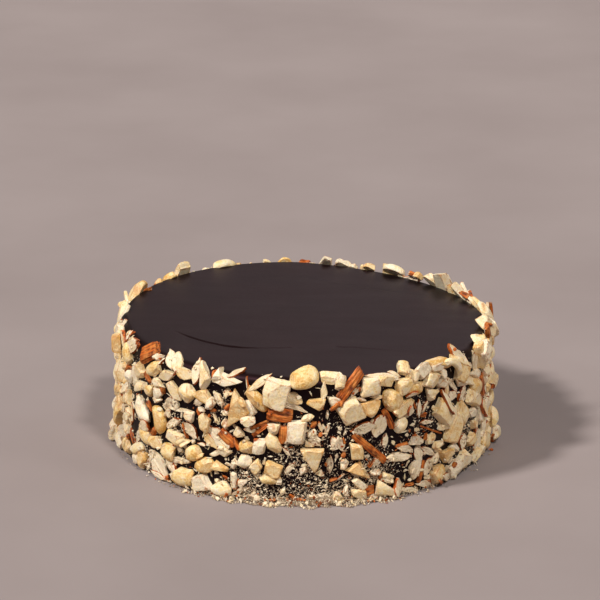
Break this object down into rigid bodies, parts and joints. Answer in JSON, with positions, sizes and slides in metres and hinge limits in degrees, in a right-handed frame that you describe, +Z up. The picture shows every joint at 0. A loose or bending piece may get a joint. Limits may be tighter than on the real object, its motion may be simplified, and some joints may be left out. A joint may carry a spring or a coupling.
{
  "type": "praline cake",
  "caption": "Low round uncut cake in dark ganache with a smooth top, its side coated in chopped cashews and almonds.",
  "frame": {"origin": "centre of the cake's flat base", "axes": "+Z up through the middle of the top, -Y towards the side that the picture shows, +X to the right as seen from there"},
  "size_m": [0.2037, 0.1986, 0.0739],
  "materials": {
    "ganache": "dark chocolate ganache, set, with a soft satin gloss",
    "nut": "pale roasted cashew and blanched almond, matt on the breaks",
    "almond_skin": "brown almond skin, ridged and matt"
  },
  "bodies": {
    "root": {"praline_cake": "ganache"}
  },
  "joints": []
}
